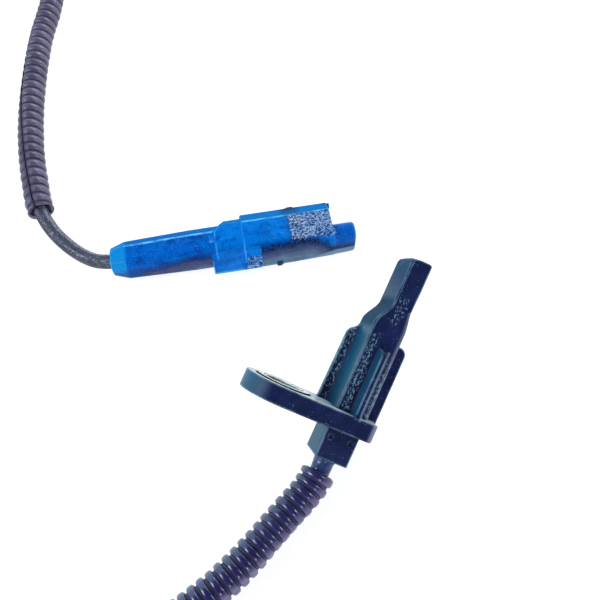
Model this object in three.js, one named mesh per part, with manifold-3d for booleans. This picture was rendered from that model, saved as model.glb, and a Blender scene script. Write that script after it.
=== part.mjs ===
// Wheel speed sensor with its lead: a moulded probe on a bolt-on flange, a cable in a
// split corrugated conduit, and a two-pin plug on the far end.
// Millimetres, +Z up. The part lies on the ground plane as it comes to rest: the flange's
// low corner, the rear block's low corner, the conduit and the plug touch z = 0.
import * as THREE from 'three';
import { mergeVertices } from 'three/addons/utils/BufferGeometryUtils.js';
import Module from 'manifold-3d';

// ---------------------------------------------------------------- driving dimensions
const HEAD = {
  tilt: 22.2,            // probe axis above the ground plane, degrees
  roll: 21.54,           // turn about the probe axis, degrees
  tipX: [-1.8, 3.3],    // blade width at the tip
  coreX: [-4.2, 4.25],   // core width
  halfY: 5.5,            // core half depth
  tipZ: 39.0,            // tip end above the flange seat
  blade: 27.6,           // where the blade starts to widen
  shoulder: 21.6,        // where the core reaches full width
  finR: 7.7,             // fins' reach from the probe axis
  finT: 1.9,             // side fins' thickness
  leftFin: [-6.75, 3.3, 5.2],   // left fin: reach, and its two faces in y
  sideFinZ: 18.8,        // side fins' height
  ribZ: 16.4,            // near and far fins' height
  ribFoot: [-0.7, 2.16], // near and far fins' width where they leave the core
  ribCrest: [0.13, 1.33],
  flangeT: 4.3,
  boltX: -16.6,          // bolt hole centre
  flangeR: 9.2,          // rounded end of the flange
  flangeRight: 6.8,
  flangeHalf: 7.24,
  cornerR: 2.2,
  blockX: 4.09, blockY: 5.28, blockZ: 11.66, blockCorner: 0.9,
  flareR: 3.3, flareEnd: 2.8, flareL: 1.0,
};
const BUSH = { outer: 6.68, inner: 4.25, proud: 0.12 };
const GAP = 0.3;         // space kept between pieces that touch
const CABLE_R = 2.0;
const BORE_R = 2.38;     // cable bore in the head and in the plug
const CONDUIT = { outer: 3.75, inner: 2.55, slit: 0.5 };
const CORE_R = 0.48;     // insulated wire

// lay of the part on the ground, in the plan frame of the lead
const PLAN_TURN = 26.3;                     // plan frame to part frame, degrees
const PLAN_SHIFT = [-16.096, 11.833, 0.0];   // plan frame to part frame, after the turn
const HEAD_AT = [10.979, -32.494, 10.037];  // flange seat centre in the plan frame
const PLUG_AT = [-51.3, 10.99, 5.25];       // plug's rear centre in the plan frame
const PLUG_TURN = 10.2;                     // plug axis in plan, degrees
const PLUG_L = 66.75;

// ---------------------------------------------------------------- helpers
const wasm = await Module();
wasm.setup();
const rad = (d) => (d * Math.PI) / 180;

function solid(geometry) {
  let g = geometry.clone();
  g.deleteAttribute('normal');
  g.deleteAttribute('uv');
  g = mergeVertices(g, 1e-4);
  return new wasm.Manifold(
    new wasm.Mesh({
      numProp: 3,
      vertProperties: new Float32Array(g.attributes.position.array),
      triVerts: new Uint32Array(g.index.array),
    }),
  );
}
function toGeometry(m) {
  const mesh = m.getMesh();
  const g = new THREE.BufferGeometry();
  g.setAttribute('position', new THREE.BufferAttribute(new Float32Array(mesh.vertProperties), 3));
  g.setIndex(new THREE.BufferAttribute(new Uint32Array(mesh.triVerts), 1));
  g.computeVertexNormals();
  return g;
}
const join = (...parts) => parts.reduce((a, b) => a.add(b));
const cut = (a, ...parts) => parts.reduce((s, b) => s.subtract(b), a);

function boxAt(x, y, z) {
  const g = new THREE.BoxGeometry(x[1] - x[0], y[1] - y[0], z[1] - z[0]);
  g.translate((x[0] + x[1]) / 2, (y[0] + y[1]) / 2, (z[0] + z[1]) / 2);
  return solid(g);
}
function rod(r, z0, z1, n = 24, x = 0, y = 0) {
  const g = new THREE.CylinderGeometry(r, r, z1 - z0, n);
  g.rotateX(Math.PI / 2);
  g.translate(x, y, (z0 + z1) / 2);
  return g;
}
// polygon with rounded corners: points are [x, y, radius]
function rounded(points, seg = 3) {
  const out = [];
  const n = points.length;
  for (let i = 0; i < n; i++) {
    const p = new THREE.Vector2(points[i][0], points[i][1]);
    const r = points[i][2] || 0;
    if (r <= 0) { out.push(p); continue; }
    const a = new THREE.Vector2(...points[(i + n - 1) % n].slice(0, 2)).sub(p).normalize();
    const b = new THREE.Vector2(...points[(i + 1) % n].slice(0, 2)).sub(p).normalize();
    const half = Math.acos(THREE.MathUtils.clamp(a.dot(b), -1, 1)) / 2;
    const reach = r / Math.tan(half);
    const c = p.clone().add(a.clone().add(b).normalize().multiplyScalar(r / Math.sin(half)));
    const s = p.clone().add(a.multiplyScalar(reach)).sub(c);
    const e = p.clone().add(b.multiplyScalar(reach)).sub(c);
    const a0 = Math.atan2(s.y, s.x);
    let d = Math.atan2(e.y, e.x) - a0;
    while (d > Math.PI) d -= 2 * Math.PI;
    while (d < -Math.PI) d += 2 * Math.PI;
    for (let k = 0; k <= seg; k++) {
      const t = a0 + (d * k) / seg;
      out.push(new THREE.Vector2(c.x + r * Math.cos(t), c.y + r * Math.sin(t)));
    }
  }
  return out;
}
// prism along local z from an outline in x, y
function prism(outline, z0, z1, steps = 1) {
  const g = new THREE.ExtrudeGeometry(new THREE.Shape(outline), {
    depth: z1 - z0, steps, bevelEnabled: false,
  });
  g.translate(0, 0, z0);
  return g;
}
function reframe(g, x, y, z) {
  g.applyMatrix4(new THREE.Matrix4().makeBasis(
    new THREE.Vector3(...x), new THREE.Vector3(...y), new THREE.Vector3(...z)));
  return g;
}
// prism along +X of the plug from an outline given as (across, height)
const along = (outline, a0, a1, steps = 1) =>
  reframe(prism(outline, a0, a1, steps), [0, 1, 0], [0, 0, 1], [1, 0, 0]);

// ---------------------------------------------------------------- colours
const paint = (color, roughness, metalness = 0) =>
  new THREE.MeshStandardMaterial({ color, roughness, metalness });

const part = new THREE.Group();
const plan = new THREE.Group();
plan.rotation.z = rad(PLAN_TURN);
plan.position.set(...PLAN_SHIFT);
part.add(plan);
function put(parent, name, geometry, material) {
  const m = new THREE.Mesh(geometry, material);
  m.name = name;
  parent.add(m);
  return m;
}

// ---------------------------------------------------------------- sensor head
// head frame: +Z from the flange seat to the tip, +X from the bolt hole to the probe
const head = new THREE.Group();
head.position.set(...HEAD_AT);
const headAim = new THREE.Matrix4()
  .makeRotationZ(rad(-PLAN_TURN))
  .multiply(new THREE.Matrix4().makeRotationX(rad(-(90 - HEAD.tilt))))
  .multiply(new THREE.Matrix4().makeRotationZ(rad(HEAD.roll)));
head.quaternion.setFromRotationMatrix(headAim);
plan.add(head);

const H = HEAD;
// blade, shoulders and core as one outline in x, z, with a soft S between the widths
function coreOutline() {
  const s = (x0, z0, x1, z1, n) => {
    const pts = [];
    for (let k = 0; k <= n; k++) {
      const t = k / n;
      const w = t * t * (3 - 2 * t);
      pts.push(new THREE.Vector2(x0 + (x1 - x0) * w, z0 + (z1 - z0) * t));
    }
    return pts;
  };
  return [
    new THREE.Vector2(H.coreX[0], -1),
    new THREE.Vector2(H.coreX[1], -1),
    ...s(H.coreX[1], H.shoulder, H.tipX[1], H.blade, 6),
    new THREE.Vector2(H.tipX[1], H.tipZ - 1.0),
    new THREE.Vector2(H.tipX[1] - 0.3, H.tipZ - 0.3),
    new THREE.Vector2(H.tipX[1] - 1.0, H.tipZ),
    new THREE.Vector2(H.tipX[0] + 1.0, H.tipZ),
    new THREE.Vector2(H.tipX[0] + 0.3, H.tipZ - 0.3),
    new THREE.Vector2(H.tipX[0], H.tipZ - 1.0),
    ...s(H.tipX[0], H.blade, H.coreX[0], H.shoulder, 6),
  ];
}
// an outline in x, z swept over y
const overY = (outline, y0, y1) =>
  reframe(prism(outline, -y1, -y0), [1, 0, 0], [0, 0, 1], [0, -1, 0]);
// an outline in y, z swept over x
const overX = (outline, x0, x1) =>
  reframe(prism(outline, x0, x1), [0, 1, 0], [0, 0, 1], [1, 0, 0]);

const core = solid(overY(coreOutline(), -H.halfY, H.halfY));
const rightFin = solid(overY(rounded([
  [3, -1, 0], [H.finR, -1, 0], [H.finR, H.sideFinZ, 1.9], [3, H.sideFinZ, 0],
]), -H.finT / 2, H.finT / 2));
const leftFin = solid(overY(rounded([
  [H.leftFin[0], -1, 0], [-3, -1, 0], [-3, H.sideFinZ, 0], [H.leftFin[0], H.sideFinZ, 1.9],
]), H.leftFin[1], H.leftFin[2]));
// near and far fins: drafted sides, and a rounded top corner
const ribFins = solid(prism([
  [H.ribCrest[0], -H.finR], [H.ribCrest[1], -H.finR], [H.ribFoot[1], -H.halfY + 0.3],
  [H.ribFoot[1], H.halfY - 0.3], [H.ribCrest[1], H.finR], [H.ribCrest[0], H.finR],
  [H.ribFoot[0], H.halfY - 0.3], [H.ribFoot[0], -H.halfY + 0.3],
].map((q) => new THREE.Vector2(...q)), -0.3, H.ribZ)).intersect(solid(overX(rounded([
  [-H.finR - 0.1, -1, 0], [H.finR + 0.1, -1, 0], [H.finR + 0.1, H.ribZ - 0.05, 1.6], [-H.finR - 0.1, H.ribZ - 0.05, 1.6],
]), -3, 4)));

function flangeOutline() {
  const pts = [];
  const a = 84.63;
  for (let k = 0; k <= 22; k++) {
    const t = rad(a + ((360 - 2 * a) * k) / 22);
    pts.push(new THREE.Vector2(H.boltX + H.flangeR * Math.cos(t), H.flangeR * Math.sin(t)));
  }
  const cx = H.flangeRight - H.cornerR;
  const cy = H.flangeHalf - H.cornerR;
  for (const [lo, hi, sy] of [[-a, 0, -1], [0, a, 1]]) {
    for (let k = 0; k <= 4; k++) {
      const t = rad(lo + ((hi - lo) * k) / 4);
      pts.push(new THREE.Vector2(cx + H.cornerR * Math.cos(t), sy * cy + H.cornerR * Math.sin(t)));
    }
  }
  return pts;
}
const flange = solid(prism(flangeOutline(), -H.flangeT, 0));
const block = solid(prism(rounded([
  [-H.blockX, -H.blockY, H.blockCorner], [H.blockX, -H.blockY, H.blockCorner],
  [H.blockX, H.blockY, H.blockCorner], [-H.blockX, H.blockY, H.blockCorner],
], 2), -H.blockZ, -H.flangeT + 1));
const flare = solid(reframe(new THREE.LatheGeometry([
  [0, -1.5], [H.flareR + 0.6, -1.5], [H.flareR, 0], [H.flareEnd + 0.1, 0.5], [H.flareEnd, H.flareL], [0, H.flareL],
].map((p) => new THREE.Vector2(p[0], p[1])), 24), [1, 0, 0], [0, 0, -1], [0, 1, 0]))
  .translate([0, 0, -H.blockZ]);

// insert pocket, cable bore, bolt hole and the two small holes of the block's near face
const pocket = boxAt([-1.0, 2.3], [-2.9, 2.9], [-7.0, 37.0]);
const bore = solid(rod(BORE_R, -H.blockZ - 2, -6.0, 20));
const bushHole = solid(rod(BUSH.outer + GAP, -H.flangeT - 1, 1, 36, H.boltX, 0));
const toolHole = (x, z) => {
  const g = new THREE.CylinderGeometry(0.7, 0.7, 2.4, 12);
  g.translate(x, -H.blockY, z);
  return solid(g);
};
const housing = cut(join(core, leftFin, rightFin, ribFins, flange, block, flare),
  pocket, bore, bushHole, toolHole(-2.45, -6.4), toolHole(2.5, -6.3));
put(head, 'sensor_housing', toGeometry(housing), paint(0x141c33, 0.42));

// compression bush of the bolt hole, with a small chamfer at both mouths
{
  const z0 = -H.flangeT - BUSH.proud;
  const z1 = BUSH.proud;
  const c = 0.5;
  const g = new THREE.LatheGeometry([
    [BUSH.inner, z0 + c], [BUSH.inner + c, z0], [BUSH.outer, z0],
    [BUSH.outer, z1], [BUSH.inner + c, z1], [BUSH.inner, z1 - c], [BUSH.inner, z0 + c],
  ].map((p) => new THREE.Vector2(p[0], p[1])), 36);
  reframe(g, [1, 0, 0], [0, 0, 1], [0, -1, 0]);
  g.translate(H.boltX, 0, 0);
  put(head, 'flange_bush', toGeometry(solid(g)), paint(0xc9ced2, 0.3, 0.9));
}

// insert: carrier, magnet, sensing element, filter capacitor, lead strips, splice crimps
put(head, 'chip_carrier', toGeometry(join(
  boxAt([-0.7, 0.5], [-2.55, 2.55], [4.2, 33.0]),
  boxAt([-0.7, 1.5], [-0.35, 0.35], [6, 20]))), paint(0x2b2b2e, 0.6));
put(head, 'bias_magnet', toGeometry(boxAt([-0.7, 0.2], [-2.0, 2.0], [33.4, 36.6])),
  paint(0x4a4b4f, 0.35, 0.8));
put(head, 'sensing_element', toGeometry(join(
  boxAt([0.5, 1.9], [-2.3, 2.3], [33.3, 36.7]),
  boxAt([1.4, 1.65], [0.95, 1.45], [27.6, 33.6]),
  boxAt([1.4, 1.65], [-1.45, -0.95], [27.6, 33.6]))), paint(0x18181a, 0.5));
put(head, 'filter_capacitor', toGeometry(boxAt([1.4, 2.0], [-2.1, 2.1], [22.2, 25.6])),
  paint(0x1d1d20, 0.5));
for (const [name, s] of [['lead_strip_left', -1], ['lead_strip_right', 1]]) {
  const y = [s * 1.75, s * 0.65].sort((p, q) => p - q);
  put(head, name, toGeometry(join(
    boxAt([0.8, 1.1], y, [3.9, 31.0]),
    boxAt([0.8, 1.1], [Math.min(s * 2.2, s * 1.2), Math.max(s * 2.2, s * 1.2)], [3.9, 5.4]))),
    paint(0xb9bcc0, 0.35, 0.9));
}
for (const [name, s] of [['splice_crimp_left', -1], ['splice_crimp_right', 1]]) {
  const y = s * 1.35;
  put(head, name, toGeometry(cut(
    boxAt([-0.3, 1.5], [y - 1.05, y + 1.05], [-0.6, 3.5]),
    boxAt([-0.02, 3], [y - 0.79, y + 0.79], [-1, 4]))), paint(0xc08a55, 0.4, 0.9));
}

// ---------------------------------------------------------------- plug
// plug frame: +X from the cable entry to the mating end, +Y across, +Z up
const plug = new THREE.Group();
plug.position.set(...PLUG_AT);
plug.rotation.z = rad(PLUG_TURN);
plan.add(plug);

const BARREL = [[-5.2, -4.5, 2.6], [4.75, -4.5, 2.0], [4.8, 2.5, 0.6], [1.95, 4.3, 0.4], [-5.1, 4.3, 2.6]];
const COLLAR = [[-5.65, -4.85, 2.6], [5.6, -4.85, 2.0], [5.8, 2.8, 0.5], [3.4, 4.9, 0.3], [-5.5, 4.9, 2.6]];
const BODY = [[-6.75, -5.25, 2.9], [7.2, -5.25, 1.2], [7.25, 2.4, 0.4], [3.05, 5.25, 0.3], [-6.75, 5.25, 2.9]];
const SHROUD = [[-6.4, -5.15, 2.6], [-0.6, -5.15, 2.6], [-0.6, 4.6, 2.6], [-6.4, 4.6, 2.6]];
const MOUTH = [[-5.35, -4.15, 1.6], [-1.55, -4.15, 1.6], [-1.55, 3.6, 1.6], [-5.35, 3.6, 1.6]];
const PAD = [[-8.22, -1.53, 0.2], [-7.2, -2.55, 0.2], [-4.2, -0.9, 0], [0, 0, 0], [1.0, 4.0, 0], [-1.66, 5.03, 0]];

// barrel, narrowed towards the cable over its first 4 mm
function barrel() {
  const g = along(rounded(BARREL), 0, 37, 37);
  const p = g.attributes.position;
  for (let i = 0; i < p.count; i++) {
    const a = p.getX(i);
    const k = a < 4.06 ? 0.66 + (0.25 * a) / 4.06 : 0.91 + 0.09 * Math.min(1, (a - 4.06) / 18);
    p.setY(i, p.getY(i) * k);
    p.setZ(i, p.getZ(i) * k);
  }
  return solid(g);
}
const ramp = (pts, y0, y1) =>   // small wedge: outline in (along, out), swept over height
  solid(prism(pts.map((q) => new THREE.Vector2(q[0], q[1])), y0, y1));
const plugBody = join(
  barrel(),
  solid(along(rounded(COLLAR), 28.6, 37)),
  solid(along(rounded(BODY), 36.05, 60.75)),
  solid(along(rounded(SHROUD), 52, PLUG_L)),
  solid(along(rounded(PAD), 27.2, 40.4)),
  ramp([[48.6, 6.9], [51.4, 6.9], [51.2, 7.85], [49.4, 7.7]], 0.2, 2.2),
  ramp([[44.6, -7.4], [45.6, -7.4], [46.6, -6.6], [44.4, -6.6]], -3.4, -1.4),
  ramp([[59.9, 6.0], [61.7, 6.2], [61.7, 6.9], [59.9, 7.05]], 1.1, 2.3),
);
const rodX = (r, a0, a1, n, y = 0, z = 0) =>
  solid(reframe(rod(r, a0, a1, n), [0, 1, 0], [0, 0, 1], [1, 0, 0])).translate([0, y, z]);
const PIN = [[-3.07, 1.15], [-3.07, -2.05]];     // pins: across, height
const plugHousing = cut(plugBody,
  rodX(BORE_R, -1, 24.4, 20),
  boxAt([20, 30], [-2.0, 1.8], [-2.0, 2.0]),
  boxAt([29, 42.1], [-4.35, 1.8], [-3.35, 2.45]),
  boxAt([42, 54.3], [-4.9, -1.2], [-4.1, 3.2]),
  solid(along(rounded(MOUTH), 54.0, PLUG_L + 1)),
);
put(plug, 'plug_housing', toGeometry(plugHousing), paint(0x0a6fdc, 0.38));
put(plug, 'pin_carrier', toGeometry(cut(
  boxAt([42.4, 53.7], [-4.6, -1.5], [-3.8, 2.9]),
  ...PIN.map((q) => rodX(0.82, 40, 56, 12, q[0], q[1])))), paint(0x30343a, 0.55));
PIN.forEach((q, i) => {
  const pin = cut(
    join(rodX(0.5, 40.0, 64.5, 12, q[0], q[1]), rodX(1.02, 37.2, 41.0, 12, q[0], q[1])),
    rodX(0.8, 37.0, 40.4, 12, q[0], q[1]));
  put(plug, `contact_pin_${i ? 'lower' : 'upper'}`, toGeometry(pin), paint(0xc9c6bd, 0.3, 0.9));
});

// ---------------------------------------------------------------- lead
// route of the cable's centreline in the plan frame, head to plug
plan.updateMatrixWorld(true);
head.updateMatrix();
plug.updateMatrix();
const inHead = (z) => new THREE.Vector3(0, 0, z).applyMatrix4(head.matrix);
const inPlug = (a) => new THREE.Vector3(a, 0, 0).applyMatrix4(plug.matrix);
const ROUTE = [
  inHead(-6.5), inHead(-9.2), inHead(-11.6), inHead(-12.9),
  ...[
    [4.50, -45.70, 4.62], [2.72, -48.50, 3.98], [0.60, -51.20, 3.78], [-2.60, -54.70, 3.75],
    [-7.20, -59.80, 3.75], [-13.40, -66.40, 3.75], [-21.10, -73.10, 3.75], [-31.0, -79.6, 3.75],
    [-44.0, -84.1, 3.75], [-58.0, -84.9, 3.75], [-72.0, -81.6, 3.75], [-84.6, -74.4, 3.75],
    [-94.5, -63.8, 3.75], [-101.0, -50.5, 3.75], [-108.4, -27.0, 3.75], [-116.0, -2.0, 3.75],
    [-123.6, 23.0, 3.75], [-130.8, 48.0, 3.75], [-137.0, 73.0, 3.75], [-141.0, 97.0, 3.75],
    [-141.8, 119.0, 3.75], [-138.6, 135.6, 3.75], [-129.6, 146.8, 3.75], [-116.6, 151.0, 3.75],
    [-103.4, 148.4, 3.75], [-92.8, 139.6, 3.75], [-87.2, 127.6, 3.75], [-86.1, 114.0, 3.75],
    [-86.6, 98.0, 3.75], [-85.5, 79.4, 3.75], [-83.6, 63.8, 3.75], [-80.9, 49.8, 3.75],
    [-77.6, 38.0, 3.75], [-74.2, 28.4, 3.70], [-69.6, 21.8, 2.90], [-63.6, 16.6, 2.15],
    [-58.4, 13.2, 3.05], [-55.0, 11.6, 4.30],
  ].map((q) => new THREE.Vector3(...q)),
  inPlug(0.0), inPlug(3.0), inPlug(10), inPlug(17), inPlug(24),
];
const centreline = new THREE.CatmullRomCurve3(ROUTE, false, 'centripetal');
centreline.arcLengthDivisions = 4000;
const LEAD_L = centreline.getLength();

// stations along the centreline: close together at both ends, 12 mm apart between
const stations = [0, 2.6, 5.0, 7.2, 9.3, 12.8, 16.8, 21.2, 26.5];
const TAIL = [-24, -12, 0].map((d) => LEAD_L + d);
{
  // the conduit ends where the lead leaves it bare
  const bareFrom = LEAD_L - 24 - 30.5;
  const n = Math.round((bareFrom - 26.5) / 11.9);
  for (let k = 1; k <= n; k++) stations.push(26.5 + ((bareFrom - 26.5) * k) / n);
  for (const d of [5, 10, 15, 19.5, 23, 26, 29]) stations.push(bareFrom + d);
  stations.push(...TAIL);
}
const CONDUIT_RANGE = [4, stations.length - 11];  // station numbers of the conduit's ends

class StationCurve extends THREE.Curve {
  constructor(from, to) {
    super();
    this.s = stations.slice(from, to + 1);
    this.p = this.s.map((d) => centreline.getPointAt(Math.min(1, d / LEAD_L)));
    this.t = this.s.map((d) => centreline.getTangentAt(Math.min(1, d / LEAD_L)));
  }
  getPoint(t) {
    const x = t * (this.p.length - 1);
    const i = Math.min(Math.floor(x), this.p.length - 2);
    return this.p[i].clone().lerp(this.p[i + 1], x - i);
  }
  getPointAt(u) { return this.getPoint(u); }
  getSpacedPoints() { return this.p.map((q) => q.clone()); }
  getTangentAt(u) { return this.t[Math.round(u * (this.t.length - 1))].clone(); }
}
function sweep(outline, from, to) {
  return new THREE.ExtrudeGeometry(new THREE.Shape(outline), {
    steps: to - from, bevelEnabled: false, extrudePath: new StationCurve(from, to),
  });
}
const ring = (r, n, a0 = 0, a1 = 2 * Math.PI, closed = true) => {
  const pts = [];
  for (let k = 0; k < (closed ? n : n + 1); k++) {
    const t = a0 + ((a1 - a0) * k) / n;
    pts.push(new THREE.Vector2(r * Math.cos(t), r * Math.sin(t)));
  }
  return pts;
};
put(plan, 'cable_jacket', toGeometry(solid(sweep(ring(CABLE_R, 8), 0, stations.length - 1))),
  paint(0x6d6f78, 0.7));
{
  // split tube: a ring with a narrow slit along its whole length
  const g = Math.asin(CONDUIT.slit / 2 / CONDUIT.inner);
  const outline = [
    ...ring(CONDUIT.outer, 11, g * 0.68, 2 * Math.PI - g * 0.68, false),
    ...ring(CONDUIT.inner, 10, 2 * Math.PI - g, g, false),
  ];
  put(plan, 'split_conduit', toGeometry(solid(sweep(outline, ...CONDUIT_RANGE))),
    paint(0x3c3f4c, 0.5));
}

// insulated wires beyond the jacket, in the head and in the plug
function wire(points, n = 9) {
  const c = new THREE.CatmullRomCurve3(points.map((q) => new THREE.Vector3(...q)), false, 'centripetal');
  return toGeometry(solid(new THREE.ExtrudeGeometry(new THREE.Shape(ring(CORE_R, 8)), {
    steps: n, bevelEnabled: false, extrudePath: c,
  })));
}
for (const [name, s, c] of [['wire_brown_head', -1, 0x6b4424], ['wire_white_head', 1, 0xd8d6cc]]) {
  put(head, name, wire([
    [0, s * 0.85, -6.15], [0.05, s * 0.9, -5.3], [0.5, s * 1.2, -3], [0.8, s * 1.35, -1.2],
    [0.8, s * 1.35, 0.5], [0.8, s * 1.35, 3.3]]), paint(c, 0.5));
}
PIN.forEach((q, i) => {
  put(plug, i ? 'wire_white_plug' : 'wire_brown_plug', wire([
    [24.35, 0, i ? -0.85 : 0.85], [26, -0.1, i ? -0.9 : 0.9], [30.5, -1.2, i ? -1.3 : 1.0],
    [35, q[0] + 0.1, q[1]], [37.5, q[0], q[1]], [40.0, q[0], q[1]]], 12),
    paint(i ? 0xd8d6cc : 0x6b4424, 0.5));
});

export default part;
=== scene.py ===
import math

import bpy
import numpy as np
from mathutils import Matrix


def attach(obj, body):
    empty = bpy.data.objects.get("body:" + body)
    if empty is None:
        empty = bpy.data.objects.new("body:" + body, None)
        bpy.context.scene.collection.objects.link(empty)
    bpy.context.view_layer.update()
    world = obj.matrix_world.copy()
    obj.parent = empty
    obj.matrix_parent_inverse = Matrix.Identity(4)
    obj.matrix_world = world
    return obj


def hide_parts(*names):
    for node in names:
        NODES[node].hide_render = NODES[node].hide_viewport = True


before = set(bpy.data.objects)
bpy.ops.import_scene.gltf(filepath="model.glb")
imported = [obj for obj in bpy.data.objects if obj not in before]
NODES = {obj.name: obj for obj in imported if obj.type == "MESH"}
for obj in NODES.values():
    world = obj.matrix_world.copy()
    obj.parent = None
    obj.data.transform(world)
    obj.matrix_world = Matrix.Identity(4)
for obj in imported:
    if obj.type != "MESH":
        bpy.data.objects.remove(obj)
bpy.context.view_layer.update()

import openvdb
from mathutils import Vector

MM = 0.001

# ------------------------------------------------------------------ camera
cam_data = bpy.data.cameras.new("view")
cam_data.sensor_width = 36.0
cam_data.lens = 39.774
cam_data.clip_start = 0.001
cam_data.clip_end = 20.0
camera = bpy.data.objects.new("view", cam_data)
camera.location = (0.01946, -0.06011, 0.16179)
camera.rotation_euler = (math.radians(26.92), 0.0, math.radians(26.3))
bpy.context.scene.collection.objects.link(camera)
bpy.context.scene.camera = camera

# ------------------------------------------------------------------ frames, in mm
PLAN_TURN = math.radians(26.3)
PLAN_SHIFT = np.array([-16.096, 11.833, 0.0])
HEAD_AT = np.array([10.979, -32.494, 10.037])
PLUG_AT = np.array([-51.3, 10.99, 5.25])
PLUG_TURN = math.radians(10.2)
PLUG_L = 66.75


def turn_z(a):
    c, s = math.cos(a), math.sin(a)
    return np.array([[c, -s, 0], [s, c, 0], [0, 0, 1.0]])


def turn_x(a):
    c, s = math.cos(a), math.sin(a)
    return np.array([[1.0, 0, 0], [0, c, -s], [0, s, c]])


PLAN = turn_z(PLAN_TURN)
HEAD_M = turn_x(math.radians(-67.8)) @ turn_z(math.radians(21.54))
HEAD_O = PLAN @ HEAD_AT + PLAN_SHIFT
PLUG_M = turn_z(PLAN_TURN + PLUG_TURN)
PLUG_O = PLAN @ PLUG_AT + PLAN_SHIFT


def from_head(p):
    return np.asarray(p, float) @ HEAD_M.T + HEAD_O


def from_plug(p):
    return np.asarray(p, float) @ PLUG_M.T + PLUG_O


# ------------------------------------------------------------------ route of the lead
PLAN_POINTS = [
    [4.50, -45.70, 4.62], [2.72, -48.50, 3.98], [0.60, -51.20, 3.78], [-2.60, -54.70, 3.75],
    [-7.20, -59.80, 3.75], [-13.40, -66.40, 3.75], [-21.10, -73.10, 3.75], [-31.0, -79.6, 3.75],
    [-44.0, -84.1, 3.75], [-58.0, -84.9, 3.75], [-72.0, -81.6, 3.75], [-84.6, -74.4, 3.75],
    [-94.5, -63.8, 3.75], [-101.0, -50.5, 3.75], [-108.4, -27.0, 3.75], [-116.0, -2.0, 3.75],
    [-123.6, 23.0, 3.75], [-130.8, 48.0, 3.75], [-137.0, 73.0, 3.75], [-141.0, 97.0, 3.75],
    [-141.8, 119.0, 3.75], [-138.6, 135.6, 3.75], [-129.6, 146.8, 3.75], [-116.6, 151.0, 3.75],
    [-103.4, 148.4, 3.75], [-92.8, 139.6, 3.75], [-87.2, 127.6, 3.75], [-86.1, 114.0, 3.75],
    [-86.6, 98.0, 3.75], [-85.5, 79.4, 3.75], [-83.6, 63.8, 3.75], [-80.9, 49.8, 3.75],
    [-77.6, 38.0, 3.75], [-74.2, 28.4, 3.70], [-69.6, 21.8, 2.90], [-63.6, 16.6, 2.15],
    [-58.4, 13.2, 3.05], [-55.0, 11.6, 4.30],
]
ROUTE = np.array(
    [from_head([0, 0, z]) for z in (-6.5, -9.2, -11.6, -12.9)]
    + [PLAN @ np.array(p) + PLAN_SHIFT for p in PLAN_POINTS]
    + [from_plug([a, 0, 0]) for a in (0.0, 3.0, 10.0, 17.0, 24.0)]
)


def centripetal(points, per=40):
    """Points along a centripetal Catmull-Rom curve, which is the lead's own line."""
    n = len(points)
    out = []
    for i in range(n - 1):
        p1, p2 = points[i], points[i + 1]
        p0 = points[i - 1] if i else 2 * points[0] - points[1]
        p3 = points[i + 2] if i + 2 < n else 2 * points[-1] - points[-2]
        d0, d1, d2 = (np.linalg.norm(b - a) ** 0.5 for a, b in ((p0, p1), (p1, p2), (p2, p3)))
        t1 = ((p1 - p0) / d0 - (p2 - p0) / (d0 + d1) + (p2 - p1) / d1) * d1
        t2 = ((p2 - p1) / d1 - (p3 - p1) / (d1 + d2) + (p3 - p2) / d2) * d1
        t = (np.arange(per) / per)[:, None]
        out.append(p1 + t1 * t + (-3 * p1 + 3 * p2 - 2 * t1 - t2) * t**2 + (2 * p1 - 2 * p2 + t1 + t2) * t**3)
    out.append(points[-1:])
    return np.concatenate(out)


LINE = centripetal(ROUTE)
ARC = np.concatenate([[0], np.cumsum(np.linalg.norm(np.diff(LINE, axis=0), axis=1))])
LEAD = float(ARC[-1])
EXIT_S = 6.16            # where the lead leaves the head
CONDUIT_A = 9.3
CONDUIT_B = LEAD - 54.5


def at(s):
    """Place, direction, left and up of the lead's line at lengths s."""
    s = np.atleast_1d(np.asarray(s, float))
    pos = lambda q: np.stack([np.interp(q, ARC, LINE[:, k]) for k in range(3)], 1)
    lo, hi = np.clip(s - 0.6, 0, LEAD), np.clip(s + 0.6, 0, LEAD)
    t = pos(hi) - pos(lo)
    t /= np.linalg.norm(t, axis=1)[:, None]
    left = np.cross([0, 0, 1.0], t)
    left /= np.linalg.norm(left, axis=1)[:, None]
    return pos(s), t, left, np.cross(t, left)


# ------------------------------------------------------------------ mesh helpers
def new_mesh(name, verts_mm, faces, smooth=True):
    me = bpy.data.meshes.new(name)
    me.from_pydata((np.asarray(verts_mm) * MM).tolist(), [], [list(map(int, f)) for f in faces])
    me.validate()
    me.update()
    if smooth:
        me.polygons.foreach_set("use_smooth", [True] * len(me.polygons))
    ob = bpy.data.objects.new(name, me)
    bpy.context.scene.collection.objects.link(ob)
    return ob


def put_vector(ob, name, values):
    a = ob.data.attributes.new(name, "FLOAT_VECTOR", "POINT")
    a.data.foreach_set("vector", np.asarray(values, np.float32).ravel())


def put_float(ob, name, values):
    a = ob.data.attributes.new(name, "FLOAT", "POINT")
    a.data.foreach_set("value", np.asarray(values, np.float32).ravel())


def tube_faces(m, n, closed=True, caps=True):
    """Faces of m rings of n points, in order."""
    i, k = np.meshgrid(np.arange(m - 1), np.arange(n if closed else n - 1), indexing="ij")
    k2 = (k + 1) % n
    q = np.stack([i * n + k, i * n + k2, (i + 1) * n + k2, (i + 1) * n + k], -1).reshape(-1, 4).tolist()
    if caps:
        q.append(list(range(n))[::-1])
        q.append([(m - 1) * n + j for j in range(n)])
    return q


def wavy(s, seed, cuts):
    """A smooth wander along s: a sum of a few waves, the same each time."""
    rng = np.random.default_rng(seed)
    out = np.zeros_like(s)
    for length, size in cuts:
        out += size * np.sin(2 * np.pi * (s / length + rng.random()))
    return out


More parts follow.
